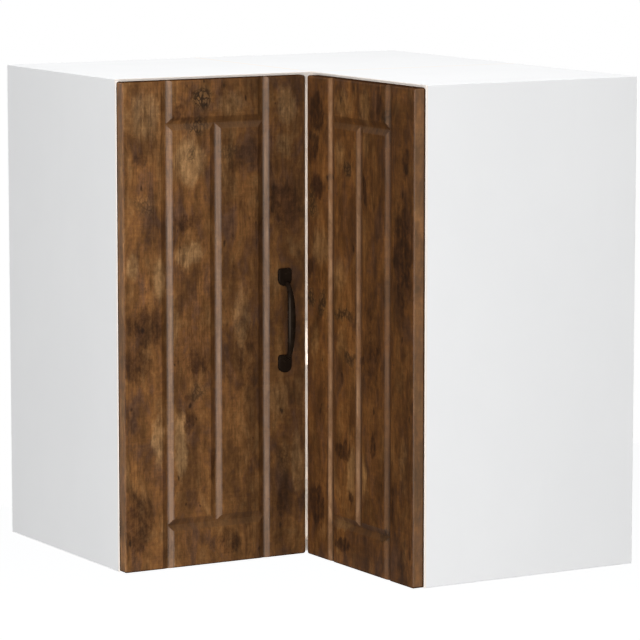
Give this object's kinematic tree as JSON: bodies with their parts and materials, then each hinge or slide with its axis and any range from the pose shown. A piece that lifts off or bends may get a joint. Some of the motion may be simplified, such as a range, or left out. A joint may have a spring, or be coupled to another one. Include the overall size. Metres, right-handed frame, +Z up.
{
  "type": "corner wall cabinet",
  "caption": "L-shaped wall cabinet for an inside corner, with a folding pair of grooved wood-look doors, a bow handle and a shelf inside.",
  "frame": {"origin": "centre of the underside of the cabinet's square plan box", "axes": "+X along the rear wall to the right, +Y back to the rear wall, +Z up; the left leaf faces -Y and the right leaf faces -X"},
  "size_m": [0.57, 0.57, 0.6],
  "materials": {
    "white_melamine": "smooth white melamine on chipboard",
    "white_hardboard": "white lacquered hardboard",
    "oak_foil": "brown rustic oak foil, satin",
    "dark_metal": "black-brown satin",
    "nickel_steel": "nickel plated",
    "zinc_steel": "zinc plated",
    "beech": "raw beech",
    "white_plastic": "moulded white plastic",
    "clear_rubber": "translucent soft bumper"
  },
  "bodies": {
    "carcass": {"left_end_panel": "white_melamine", "right_end_panel": "white_melamine", "bottom_panel": "white_melamine", "top_panel": "white_melamine", "rear_back_panel": "white_hardboard", "right_back_panel": "white_hardboard", "corner_post": "white_melamine", "shelf": "white_melamine", "left_shelf_pin_1": "nickel_steel", "left_shelf_pin_2": "nickel_steel", "right_shelf_pin_1": "nickel_steel", "right_shelf_pin_2": "nickel_steel", "rear_shelf_pin": "nickel_steel", "bottom_left_cam_1": "zinc_steel", "bottom_left_cam_1_bolt": "zinc_steel", "bottom_left_cam_2": "zinc_steel", "bottom_left_cam_2_bolt": "zinc_steel", "bottom_left_dowel": "beech", "bottom_right_cam_1": "zinc_steel", "bottom_right_cam_1_bolt": "zinc_steel", "bottom_right_cam_2": "zinc_steel", "bottom_right_cam_2_bolt": "zinc_steel", "bottom_right_dowel": "beech", "top_left_cam_1": "zinc_steel", "top_left_cam_1_bolt": "zinc_steel", "top_left_cam_2": "zinc_steel", "top_left_cam_2_bolt": "zinc_steel", "top_left_dowel": "beech", "top_right_cam_1": "zinc_steel", "top_right_cam_1_bolt": "zinc_steel", "top_right_cam_2": "zinc_steel", "top_right_cam_2_bolt": "zinc_steel", "top_right_dowel": "beech", "left_hanger_housing": "white_plastic", "right_hanger_housing": "white_plastic", "left_hanger_hook": "zinc_steel", "right_hanger_hook": "zinc_steel", "lower_hinge_arm": "nickel_steel", "lower_hinge_plate": "nickel_steel", "upper_hinge_arm": "nickel_steel", "upper_hinge_plate": "nickel_steel", "lower_bumper": "clear_rubber", "upper_bumper": "clear_rubber"},
    "left_door": {"left_door_leaf": "oak_foil", "door_handle": "dark_metal", "lower_handle_screw": "zinc_steel", "upper_handle_screw": "zinc_steel", "lower_hinge_cup": "nickel_steel", "lower_fold_arm": "nickel_steel", "lower_fold_plate": "nickel_steel", "upper_hinge_cup": "nickel_steel", "upper_fold_arm": "nickel_steel", "upper_fold_plate": "nickel_steel"},
    "right_door": {"right_door_leaf": "oak_foil", "lower_fold_cup": "nickel_steel", "lower_fold_pin": "nickel_steel", "upper_fold_cup": "nickel_steel", "upper_fold_pin": "nickel_steel"}
  },
  "joints": [
    {"name": "door_swing", "type": "hinge", "parent": "carcass", "child": "left_door", "pos_m": [-0.282, -0.027, 0.3], "axis": [0, 0, -1], "range_deg": [0, 165]},
    {"name": "door_fold", "type": "hinge", "parent": "left_door", "child": "right_door", "pos_m": [-0.018, -0.0445, 0.3], "axis": [0, 0, 1], "range_deg": [0, 132]}
  ],
  "couplings": [
    {"joint": "door_fold", "follows": "door_swing", "ratio": 0.8}
  ]
}
